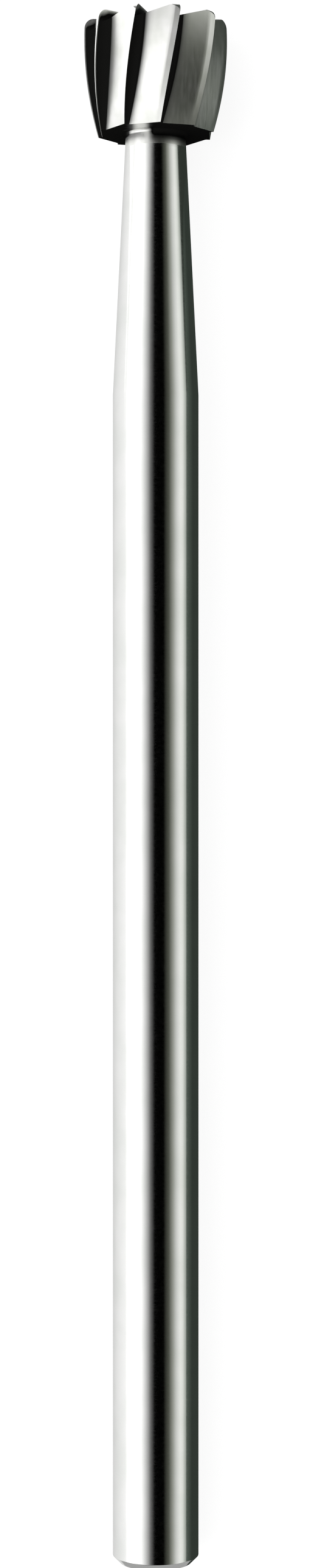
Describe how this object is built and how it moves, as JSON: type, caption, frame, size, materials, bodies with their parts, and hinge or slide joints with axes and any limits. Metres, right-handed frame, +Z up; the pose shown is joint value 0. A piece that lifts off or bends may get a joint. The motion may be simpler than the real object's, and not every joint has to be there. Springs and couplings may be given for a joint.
{
  "type": "dental bur",
  "caption": "Slim one-piece rotary cutter: round shank, tapering neck and a short barrel-shaped head with helical teeth on its side and end.",
  "frame": {"origin": "centre of the bounding box in plan, on the surface the bur lies on", "axes": "+Y from the foot of the shank to the head, along the bur; +Z up from the surface"},
  "size_m": [0.004, 0.0422, 0.0038],
  "materials": {
    "steel": "polished shank, finely ground teeth"
  },
  "bodies": {
    "root": {"bur": "steel"}
  },
  "joints": []
}
